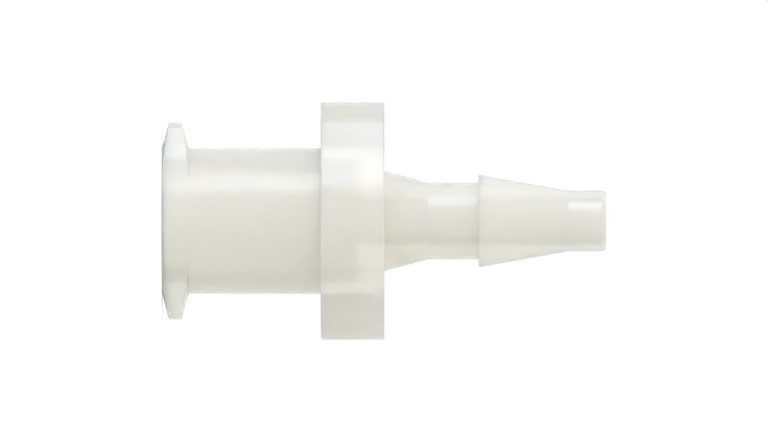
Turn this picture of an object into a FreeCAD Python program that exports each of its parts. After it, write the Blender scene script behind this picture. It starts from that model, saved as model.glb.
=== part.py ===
import FreeCAD, Part
from enum import IntEnum
import math
import os
import Sketcher

# Female luer fitting with a hose barb: one injection moulding.
# It stands on its mouth. Z runs up the axis, from the mouth face to the end of the barb,
# and the two locking lugs and the two grip wings point along X. Sizes are in millimetres.

SIZES = {
    # Barrel around the socket
    "barrel_dia": "5.75",
    "barrel_length": "6.25",
    # Locking lugs at the mouth: a tooth with a sloping front and back
    "lug_span": "7.8",
    "lug_tip_width": "2.66",
    "lug_front": "0.26",
    "lug_crest": "0.52",
    "lug_back": "0.28",
    # Grip collar with two wings
    "collar_thickness": "2.51",
    "collar_span": "9.37",
    "collar_waist_dia": "6.86",
    "collar_end_radius": "1.89",
    # Cone and neck between the collar and the barb
    "cone_base_dia": "3.96",
    "cone_length": "1.73",
    "neck_dia": "3.03",
    "neck_length": "1.98",
    # Hose barb and its straight tip
    "barb_dia": "3.67",
    "barb_length": "3.52",
    "tip_dia": "2.41",
    "tip_length": "1.5",
    # Luer socket, with its taper on the diameter, and the bore behind it
    "socket_mouth_dia": "4.3",
    "socket_taper": "0.06",
    "socket_depth": "7.7",
    "mouth_chamfer": "0.12",
    "bore_dia": "1.32",
    # Roundings left by the mould
    "tip_round": "0.2",
    "edge_round": "0.06",
}

# Radii and places that follow from the driving sizes, as formulas of the spreadsheet
DERIVED = {
    "barrel_radius": "=barrel_dia / 2",
    "crest_radius": "=lug_span / 2",
    "half_tip_width": "=lug_tip_width / 2",
    "past_crest": "=crest_radius + lug_crest",
    "waist_radius": "=collar_waist_dia / 2",
    "wing_centre": "=collar_span / 2 - collar_end_radius",
    "cone_base_radius": "=cone_base_dia / 2",
    "neck_radius": "=neck_dia / 2",
    "barb_radius": "=barb_dia / 2",
    "tip_radius": "=tip_dia / 2",
    "mouth_radius": "=socket_mouth_dia / 2",
    "chamfer_radius": "=mouth_radius + mouth_chamfer",
    "floor_radius": "=mouth_radius - (socket_depth - mouth_chamfer) * socket_taper / 2",
    "bore_radius": "=bore_dia / 2",
    # Heights above the mouth
    "lug_crest_end": "=lug_front + lug_crest",
    "lug_root_end": "=lug_crest_end + lug_back",
    "collar_end": "=barrel_length + collar_thickness",
    "neck_start": "=collar_end + cone_length",
    "barb_start": "=neck_start + neck_length",
    "tip_start": "=barb_start + barb_length",
    "tip_end": "=tip_start + tip_length",
}

ON_AXIS = None
AT_MOUTH = None
SAME_PLACE = 1e-4


class Spot(IntEnum):
    """The numbers that name the places on a line or an arc of a sketch."""

    START = 1
    END = 2
    CENTRE = 3


class Axis(IntEnum):
    """The numbers that name a sketch's own two axes."""

    ACROSS = -1
    UP = -2


START, END, CENTRE = Spot
ORIGIN = (Axis.ACROSS, START)


def fill_sheet(document):
    """Put the sizes and then the formulas in a spreadsheet, one to a row, each under its name."""
    cells = document.addObject("Spreadsheet::Sheet", "sizes")
    for row, (name, content) in enumerate((SIZES | DERIVED).items(), start=1):
        cells.set(f"A{row}", name)
        cells.set(f"B{row}", content)
        cells.setAlias(f"B{row}", name)
    document.recompute()
    return cells


def value(name):
    """What a named size comes to. The axis and the mouth, which have no name, are at 0."""
    return float(sheet.get(name)) if name else 0.0


def new_sketch(name, role, height=None):
    """A sketch on one of the body's origin planes, lifted off it where a height is given."""
    sketch = body.newObject("Sketcher::SketchObject", name)
    plane = next(p for p in body.Origin.OriginFeatures if p.Role == role)
    sketch.AttachmentSupport = [(plane, "")]
    sketch.MapMode = "FlatFace"
    if height:
        sketch.setExpression("AttachmentOffset.Base.z", f"sizes.{height}")
    return sketch


def tie(sketch, kind, *places):
    """Add a constraint that has no size."""
    sketch.addConstraint(Sketcher.Constraint(kind, *places))


def drive(sketch, kind, places, name, size):
    """Add a constraint whose size follows a named size of the spreadsheet."""
    index = sketch.addConstraint(Sketcher.Constraint(kind, *places, value(size)))
    sketch.renameConstraint(index, name)
    sketch.setExpression(f"Constraints.{name}", f"sizes.{size}")


def draw_profile(sketch, corners):
    """A closed outline through corners, each given by the names of its radius and height."""
    points = [FreeCAD.Vector(value(radius), value(height), 0) for radius, height in corners]
    for start, end in zip(points, points[1:] + points[:1]):
        sketch.addGeometry(Part.LineSegment(start, end))
    for line, (radius, height) in enumerate(corners):
        tie(sketch, "Coincident", line, END, (line + 1) % len(corners), START)
        if radius == ON_AXIS:
            tie(sketch, "PointOnObject", line, START, Axis.UP)
        else:
            drive(sketch, "DistanceX", (*ORIGIN, line, START), f"radius_{line}", radius)
        if height == AT_MOUTH:
            tie(sketch, "PointOnObject", line, START, Axis.ACROSS)
        else:
            drive(sketch, "DistanceY", (*ORIGIN, line, START), f"height_{line}", height)


def polar(radius, angle, centre=0.0):
    """A point at a radius and an angle around a centre on the sketch's first axis."""
    return FreeCAD.Vector(centre + radius * math.cos(angle), radius * math.sin(angle), 0)


def arc(radius, start, end, centre=0.0):
    """An arc about a centre on the sketch's first axis, from one angle round to another."""
    circle = Part.Circle(FreeCAD.Vector(centre, 0, 0), FreeCAD.Vector(0, 0, 1), radius)
    return Part.ArcOfCircle(circle, start, end)


def revolve(kind, name, sketch):
    """A full turn of a profile about the body's axis, as a Revolution or as a Groove."""
    feature = body.newObject(kind, name)
    feature.Profile = sketch
    feature.ReferenceAxis = (sketch, ["V_Axis"])
    feature.Angle = 360
    doc.recompute()
    return feature


def must_cut(feature, before):
    """Stop where a cut takes nothing away."""
    if feature.Shape.Volume > before - SAME_PLACE:
        raise RuntimeError(f"{feature.Name} cuts nothing")


def edges_at(feature, heights, inner_radius):
    """Names of the feature's level edges at some heights that lie outside a radius."""
    names = []
    for number, edge in enumerate(feature.Shape.Edges, start=1):
        box = edge.BoundBox
        middle = edge.valueAt((edge.FirstParameter + edge.LastParameter) / 2)
        level = any(
            abs(box.ZMin - height) < SAME_PLACE and abs(box.ZMax - height) < SAME_PLACE
            for height in heights
        )
        if level and math.hypot(middle.x, middle.y) > inner_radius:
            names.append(f"Edge{number}")
    return names


def fillet(name, base, edges, radius):
    """Round some edges of the solid so far."""
    feature = body.newObject("PartDesign::Fillet", name)
    feature.Base = (base, edges)
    feature.setExpression("Radius", f"sizes.{radius}")
    doc.recompute()
    return feature


def make_lugs():
    """A ring of the lug's tooth section, which two flats on each side cut down to two lugs."""
    section = new_sketch("lug_section", "XZ_Plane")
    draw_profile(
        section,
        [
            (ON_AXIS, AT_MOUTH),
            ("barrel_radius", AT_MOUTH),
            ("crest_radius", "lug_front"),
            ("crest_radius", "lug_crest_end"),
            ("barrel_radius", "lug_root_end"),
            (ON_AXIS, "lug_root_end"),
        ],
    )
    ring = revolve("PartDesign::Revolution", "lug_ring", section)

    sides = new_sketch("lug_sides_outline", "XY_Plane")
    draw_lug_sides(sides)
    cut = body.newObject("PartDesign::Pocket", "lug_sides")
    cut.Profile = sides
    cut.Reversed = True
    cut.setExpression("Length", "sizes.lug_root_end")
    doc.recompute()
    must_cut(cut, ring.Shape.Volume)

    both = body.newObject("PartDesign::Mirrored", "both_lug_sides")
    both.Originals = [cut]
    both.MirrorPlane = (sides, ["H_Axis"])
    body.Tip = both
    doc.recompute()
    must_cut(both, cut.Shape.Volume)


def draw_lug_sides(sketch):
    """What is cut away above the barrel: two flats tangent to it run out past the lugs' tips."""
    barrel = value("barrel_radius")
    crest = value("crest_radius")
    reach = value("past_crest")
    tip = math.asin(value("half_tip_width") / crest)
    touch = tip + math.acos(barrel / crest)
    right_touch = polar(barrel, touch)
    right_end = FreeCAD.Vector(reach, (barrel - reach * math.cos(touch)) / math.sin(touch), 0)
    right_top = FreeCAD.Vector(reach, reach, 0)
    left_touch, left_end, left_top = (
        FreeCAD.Vector(-p.x, p.y, 0) for p in (right_touch, right_end, right_top)
    )
    curve, left_flat, left_edge, top, right_edge, right_flat = sketch.addGeometry(
        [
            arc(barrel, touch, math.pi - touch),
            Part.LineSegment(left_touch, left_end),
            Part.LineSegment(left_end, left_top),
            Part.LineSegment(left_top, right_top),
            Part.LineSegment(right_top, right_end),
            Part.LineSegment(right_end, right_touch),
        ]
    )
    tie(sketch, "Coincident", curve, CENTRE, *ORIGIN)
    drive(sketch, "Radius", (curve,), "barrel_radius", "barrel_radius")
    tie(sketch, "Tangent", curve, END, left_flat, START)
    tie(sketch, "Coincident", left_flat, END, left_edge, START)
    tie(sketch, "Coincident", left_edge, END, top, START)
    tie(sketch, "Coincident", top, END, right_edge, START)
    tie(sketch, "Coincident", right_edge, END, right_flat, START)
    tie(sketch, "Tangent", right_flat, END, curve, START)
    tie(sketch, "Vertical", left_edge)
    tie(sketch, "Vertical", right_edge)
    tie(sketch, "Horizontal", top)
    tie(sketch, "Symmetric", left_flat, END, right_flat, START, Axis.UP)
    drive(sketch, "DistanceX", (*ORIGIN, top, END), "reach_across", "past_crest")
    drive(sketch, "DistanceY", (*ORIGIN, top, END), "reach_up", "past_crest")

    # The lug's width is taken at its tip, where the flat meets the crest circle
    crest_circle = sketch.addGeometry(arc(crest, -math.pi / 2, math.pi / 2), True)
    tip_corner = sketch.addGeometry(Part.Point(polar(crest, tip)), True)
    tie(sketch, "Coincident", crest_circle, CENTRE, *ORIGIN)
    tie(sketch, "PointOnObject", crest_circle, START, Axis.UP)
    tie(sketch, "PointOnObject", crest_circle, END, Axis.UP)
    drive(sketch, "Radius", (crest_circle,), "crest_radius", "crest_radius")
    tie(sketch, "PointOnObject", tip_corner, START, crest_circle)
    tie(sketch, "PointOnObject", tip_corner, START, right_flat)
    half_width = (*ORIGIN, tip_corner, START)
    drive(sketch, "DistanceY", half_width, "half_tip_width", "half_tip_width")


def make_stem():
    """Barrel, cone, neck and barb in one turned form. The barrel runs on inside the collar."""
    outline = new_sketch("stem_outline", "XZ_Plane")
    draw_profile(
        outline,
        [
            (ON_AXIS, AT_MOUTH),
            ("barrel_radius", AT_MOUTH),
            ("barrel_radius", "collar_end"),
            ("cone_base_radius", "collar_end"),
            ("neck_radius", "neck_start"),
            ("neck_radius", "barb_start"),
            ("barb_radius", "barb_start"),
            ("tip_radius", "tip_start"),
            ("tip_radius", "tip_end"),
            (ON_AXIS, "tip_end"),
        ],
    )
    stem = revolve("PartDesign::Revolution", "stem", outline)
    fillet("tip_rounding", stem, edges_at(stem, [value("tip_end")], 0), "tip_round")


def make_collar():
    """The grip: a round waist with a wing on each side, drawn out to a smaller round end."""
    outline = new_sketch("collar_outline", "XY_Plane", "barrel_length")
    draw_collar(outline)
    collar = body.newObject("PartDesign::Pad", "collar")
    collar.Profile = outline
    collar.setExpression("Length", "sizes.collar_thickness")
    doc.recompute()
    faces = [value("barrel_length"), value("collar_end")]
    rim = edges_at(collar, faces, value("barrel_radius") + SAME_PLACE)
    fillet("collar_rounding", collar, rim, "edge_round")


def draw_collar(sketch):
    """Waist arcs about the axis and end arcs on the wings, joined by tangent flats."""
    waist = value("waist_radius")
    end = value("collar_end_radius")
    place = value("wing_centre")
    turn = math.acos((waist - end) / place)
    back = math.pi - turn
    half_turn = math.pi
    sketch.addGeometry(
        [
            arc(end, -turn, turn, place),
            Part.LineSegment(polar(end, turn, place), polar(waist, turn)),
            arc(waist, turn, back),
            Part.LineSegment(polar(waist, back), polar(end, back, -place)),
            arc(end, back, half_turn + turn, -place),
            Part.LineSegment(polar(end, -back, -place), polar(waist, -back)),
            arc(waist, half_turn + turn, half_turn + back),
            Part.LineSegment(polar(waist, -turn), polar(end, -turn, place)),
        ]
    )
    right_end, upper_waist, left_end, lower_waist = 0, 2, 4, 6
    pieces = sketch.GeometryCount
    for piece in range(pieces):
        tie(sketch, "Tangent", piece, END, (piece + 1) % pieces, START)
    tie(sketch, "Coincident", upper_waist, CENTRE, *ORIGIN)
    tie(sketch, "Coincident", lower_waist, CENTRE, *ORIGIN)
    tie(sketch, "Equal", upper_waist, lower_waist)
    tie(sketch, "PointOnObject", right_end, CENTRE, Axis.ACROSS)
    tie(sketch, "Symmetric", right_end, CENTRE, left_end, CENTRE, Axis.UP)
    tie(sketch, "Equal", right_end, left_end)
    drive(sketch, "Radius", (upper_waist,), "waist_radius", "waist_radius")
    drive(sketch, "Radius", (right_end,), "end_radius", "collar_end_radius")
    drive(sketch, "DistanceX", (*ORIGIN, right_end, CENTRE), "wing_centre", "wing_centre")


def make_socket():
    """The luer taper with its flat floor and the small chamfer at its mouth."""
    section = new_sketch("socket_section", "XZ_Plane")
    draw_profile(
        section,
        [
            (ON_AXIS, AT_MOUTH),
            ("chamfer_radius", AT_MOUTH),
            ("mouth_radius", "mouth_chamfer"),
            ("floor_radius", "socket_depth"),
            (ON_AXIS, "socket_depth"),
        ],
    )
    before = body.Tip.Shape.Volume
    must_cut(revolve("PartDesign::Groove", "socket", section), before)


def make_bore():
    """The bore, from the floor of the socket out through the end of the barb."""
    outline = new_sketch("bore_outline", "XY_Plane")
    centre = FreeCAD.Vector(0, 0, 0)
    up = FreeCAD.Vector(0, 0, 1)
    circle = outline.addGeometry(Part.Circle(centre, up, value("bore_radius")))
    tie(outline, "Coincident", circle, CENTRE, *ORIGIN)
    drive(outline, "Radius", (circle,), "bore_radius", "bore_radius")
    before = body.Tip.Shape.Volume
    bore = body.newObject("PartDesign::Pocket", "bore")
    bore.Profile = outline
    bore.Type = "ThroughAll"
    bore.Reversed = True
    doc.recompute()
    must_cut(bore, before)


def check_model():
    """Stop if any object failed, or if the body's shape is missing or not sound."""
    for item in doc.Objects:
        if {"Invalid", "Error"} & set(item.State):
            raise RuntimeError(f"{item.Name} failed")
    if body.Shape.isNull() or not body.Shape.isValid():
        raise RuntimeError(f"{body.Label} has no valid shape")


doc = FreeCAD.newDocument("female_luer_fitting")
sheet = fill_sheet(doc)
body = doc.addObject("PartDesign::Body", "fitting_body")
body.Label = "luer_fitting"
doc.recompute()

make_lugs()
make_stem()
make_collar()
make_socket()
make_bore()

doc.recompute()
check_model()
os.makedirs("parts", exist_ok=True)
body.Shape.exportStep(f"parts/{body.Label}.step")
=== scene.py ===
import math
import bpy
from mathutils import Matrix, Vector


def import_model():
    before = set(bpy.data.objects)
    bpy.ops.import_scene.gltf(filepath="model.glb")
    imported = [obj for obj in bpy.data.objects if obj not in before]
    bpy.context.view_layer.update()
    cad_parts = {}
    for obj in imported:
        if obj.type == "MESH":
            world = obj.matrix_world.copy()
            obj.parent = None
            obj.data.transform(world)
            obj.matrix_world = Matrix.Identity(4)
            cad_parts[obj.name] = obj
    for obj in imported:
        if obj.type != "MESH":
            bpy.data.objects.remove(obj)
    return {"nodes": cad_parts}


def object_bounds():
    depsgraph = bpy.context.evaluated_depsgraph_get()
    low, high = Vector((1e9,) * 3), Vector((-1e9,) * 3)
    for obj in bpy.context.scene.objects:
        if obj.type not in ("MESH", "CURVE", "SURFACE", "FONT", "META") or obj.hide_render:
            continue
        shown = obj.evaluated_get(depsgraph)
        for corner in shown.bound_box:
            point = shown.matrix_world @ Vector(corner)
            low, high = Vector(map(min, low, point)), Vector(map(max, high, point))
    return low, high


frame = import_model()
cad_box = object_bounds()

MM = 0.001

# The photograph shows the fitting lying across the picture, mouth to the left. The model
# stands on its mouth, so the camera is turned a quarter round: +Z runs to the right of the
# picture and -X runs up it.
ACROSS = Vector((0, 0, 1))
UP = Vector((-1, 0, 0))
TO_CAMERA = Vector((0, -1, 0))

PICTURE_WIDTH_PX = 768
PIXELS_PER_MM = 25.37
LENS_MM = 1000.0
SENSOR_MM = 36.0
PICTURE_WIDTH = PICTURE_WIDTH_PX / PIXELS_PER_MM * MM
CAMERA_DISTANCE = PICTURE_WIDTH * LENS_MM / SENSOR_MM

# The world's light is a touch warm and the key light a touch cool.
AMBIENT = 0.935
AMBIENT_COLOUR = (1.0, 0.985, 0.935)
KEY_RADIANCE = 7.2
KEY_COLOUR = (0.81, 0.85, 1.0)
KEY_TURN = math.radians(62)
KEY_DISTANCE = 0.5
KEY_WIDTH = 0.13
KEY_HEIGHT = 0.27

FLOOR_COLOUR = (0.9, 0.91, 0.95)
FLOOR_GLOW = 0.3
FLOOR_RADIUS = 0.3
FLOOR_HOLE_RADIUS = 2.75 * MM
RING_CORNERS = 96

PLASTIC_CLEARER = (0.96, 0.953, 0.874)
PLASTIC_MILKIER = (0.95, 0.943, 0.854)
CLOUD_SIZE = 2.2 * MM
SCATTER = (1.0, 0.95, 0.75)
SCATTER_DEPTH = 1.0 * MM
CLEAR_SHARE = 0.4
PLASTIC_IOR = 1.46
SHEEN_PATCH_SIZE = 0.9 * MM
ROUGHNESS_LOW = 0.18
ROUGHNESS_HIGH = 0.23
GRAIN_SIZE = 0.1 * MM
GRAIN_DEPTH = 0.0012 * MM
NOISE_DETAIL = 2.0


def add_node(tree, kind, **values):
    """A node with some of its inputs set by name, and its other values as attributes."""
    node = tree.nodes.new(kind)
    for name, value in values.items():
        if name in node.inputs:
            node.inputs[name].default_value = value
        else:
            setattr(node, name, value)
    return node


def noise(tree, size):
    """Noise in the fitting's own space, with features of about the given size."""
    place = tree.nodes.new("ShaderNodeTexCoord")
    texture = add_node(tree, "ShaderNodeTexNoise", Scale=1 / size, Detail=NOISE_DETAIL)
    tree.links.new(place.outputs["Object"], texture.inputs["Vector"])
    return texture.outputs["Fac"]


def natural_plastic():
    """Uncoloured translucent plastic: light goes in, scatters and comes out warmer.

    It is a little cloudy inside, and its moulded skin varies in gloss and has a fine grain.
    """
    material = bpy.data.materials.new("natural_plastic_moulded")
    material.use_nodes = True
    tree = material.node_tree
    shader = tree.nodes["Principled BSDF"]
    shader.subsurface_method = "RANDOM_WALK"
    shader.inputs["Subsurface Weight"].default_value = 1.0
    shader.inputs["Subsurface Radius"].default_value = SCATTER
    shader.inputs["Subsurface Scale"].default_value = SCATTER_DEPTH
    shader.inputs["Transmission Weight"].default_value = CLEAR_SHARE
    shader.inputs["IOR"].default_value = PLASTIC_IOR

    cloud = add_node(tree, "ShaderNodeMix", data_type="RGBA")
    cloud.inputs["A"].default_value = (*PLASTIC_CLEARER, 1)
    cloud.inputs["B"].default_value = (*PLASTIC_MILKIER, 1)
    tree.links.new(noise(tree, CLOUD_SIZE), cloud.inputs["Factor"])
    tree.links.new(cloud.outputs["Result"], shader.inputs["Base Color"])

    gloss = add_node(
        tree, "ShaderNodeMapRange", **{"To Min": ROUGHNESS_LOW, "To Max": ROUGHNESS_HIGH}
    )
    tree.links.new(noise(tree, SHEEN_PATCH_SIZE), gloss.inputs["Value"])
    tree.links.new(gloss.outputs["Result"], shader.inputs["Roughness"])

    grain = add_node(tree, "ShaderNodeBump", Distance=GRAIN_DEPTH)
    tree.links.new(noise(tree, GRAIN_SIZE), grain.inputs["Height"])
    tree.links.new(grain.outputs["Normal"], shader.inputs["Normal"])
    return material


def shown(tree):
    """A socket that is 1 for a ray from the camera, a reflection or clear plastic, else 0."""
    path = tree.nodes.new("ShaderNodeLightPath")
    total = path.outputs["Is Camera Ray"]
    for kind in ("Is Glossy Ray", "Is Transmission Ray"):
        either = add_node(tree, "ShaderNodeMath", operation="MAXIMUM")
        tree.links.new(total, either.inputs[0])
        tree.links.new(path.outputs[kind], either.inputs[1])
        total = either.outputs[0]
    return total


def ring(name, inner, outer):
    """A flat ring about the origin, on the floor's level, with inner and outer corners in turn."""
    points = []
    for corner in range(RING_CORNERS):
        turn = math.tau * corner / RING_CORNERS
        points += [(radius * math.cos(turn), radius * math.sin(turn), 0) for radius in (inner, outer)]
    faces = [
        [(first + step) % len(points) for step in (0, 1, 3, 2)] for first in range(0, len(points), 2)
    ]
    mesh = bpy.data.meshes.new(name)
    mesh.from_pydata(points, [], faces)
    piece = bpy.data.objects.new(name, mesh)
    bpy.context.scene.collection.objects.link(piece)
    return piece


def floor():
    """A pale round floor, seen as white apart from the fitting's shadow.

    It is open under the mouth, so that light comes into the socket as it does in the photograph.
    """
    disc = ring("floor", FLOOR_HOLE_RADIUS, FLOOR_RADIUS)
    material = bpy.data.materials.new("floor_white")
    material.use_nodes = True
    tree = material.node_tree
    tree.nodes.clear()
    out = tree.nodes.new("ShaderNodeOutputMaterial")
    plain = add_node(tree, "ShaderNodeBsdfDiffuse", Color=(*FLOOR_COLOUR, 1))
    glow = add_node(tree, "ShaderNodeEmission", Strength=FLOOR_GLOW)
    both = tree.nodes.new("ShaderNodeAddShader")
    mix = tree.nodes.new("ShaderNodeMixShader")
    tree.links.new(plain.outputs[0], both.inputs[0])
    tree.links.new(glow.outputs[0], both.inputs[1])
    tree.links.new(shown(tree), mix.inputs[0])
    tree.links.new(plain.outputs[0], mix.inputs[1])
    tree.links.new(both.outputs[0], mix.inputs[2])
    tree.links.new(mix.outputs[0], out.inputs["Surface"])
    disc.data.materials.append(material)


def world():
    """White where it is seen, a little softer as a light."""
    scene_world = bpy.data.worlds.new("studio")
    scene_world.use_nodes = True
    tree = scene_world.node_tree
    tree.nodes.clear()
    out = tree.nodes.new("ShaderNodeOutputWorld")
    background = tree.nodes.new("ShaderNodeBackground")
    light = add_node(tree, "ShaderNodeMix", data_type="RGBA")
    light.inputs["A"].default_value = (*(AMBIENT * level for level in AMBIENT_COLOUR), 1)
    light.inputs["B"].default_value = (1, 1, 1, 1)
    tree.links.new(shown(tree), light.inputs["Factor"])
    tree.links.new(light.outputs["Result"], background.inputs["Color"])
    tree.links.new(background.outputs[0], out.inputs["Surface"])
    bpy.context.scene.world = scene_world


def place_in_scene(holder, place, right, up):
    """Put a lamp or camera at a place, with its own X to the right and its own Y up."""
    turn = Matrix((right, up, right.cross(up))).transposed().to_4x4()
    holder.matrix_world = Matrix.Translation(place) @ turn
    bpy.context.scene.collection.objects.link(holder)


def softbox():
    """The key light: it stands on the floor's level, turned up the picture from the camera.

    Its width runs along the fitting's axis, from the floor up, and its height round the axis.
    """
    lamp = bpy.data.lights.new("key", "AREA")
    lamp.shape = "RECTANGLE"
    lamp.size = KEY_WIDTH
    lamp.size_y = KEY_HEIGHT
    lamp.energy = KEY_RADIANCE * math.pi * KEY_WIDTH * KEY_HEIGHT
    lamp.color = KEY_COLOUR
    holder = bpy.data.objects.new("key", lamp)
    holder.visible_camera = False
    back = TO_CAMERA * math.cos(KEY_TURN) + UP * math.sin(KEY_TURN)
    place = back * KEY_DISTANCE + ACROSS * KEY_WIDTH / 2
    place_in_scene(holder, place, ACROSS, back.cross(ACROSS))


def camera():
    """Square to the fitting's axis, far off, as near to parallel as the photograph is."""
    data = bpy.data.cameras.new("camera")
    data.lens = LENS_MM
    data.sensor_width = SENSOR_MM
    holder = bpy.data.objects.new("camera", data)
    low, high = (Vector(corner) for corner in cad_box)
    place_in_scene(holder, (low + high) / 2 + TO_CAMERA * CAMERA_DISTANCE, ACROSS, UP)
    bpy.context.scene.camera = holder


plastic = natural_plastic()
for slot in frame["nodes"]["luer_fitting"].material_slots:
    slot.material = plastic

floor()
world()
softbox()
camera()
bpy.context.scene.view_settings.view_transform = "Standard"
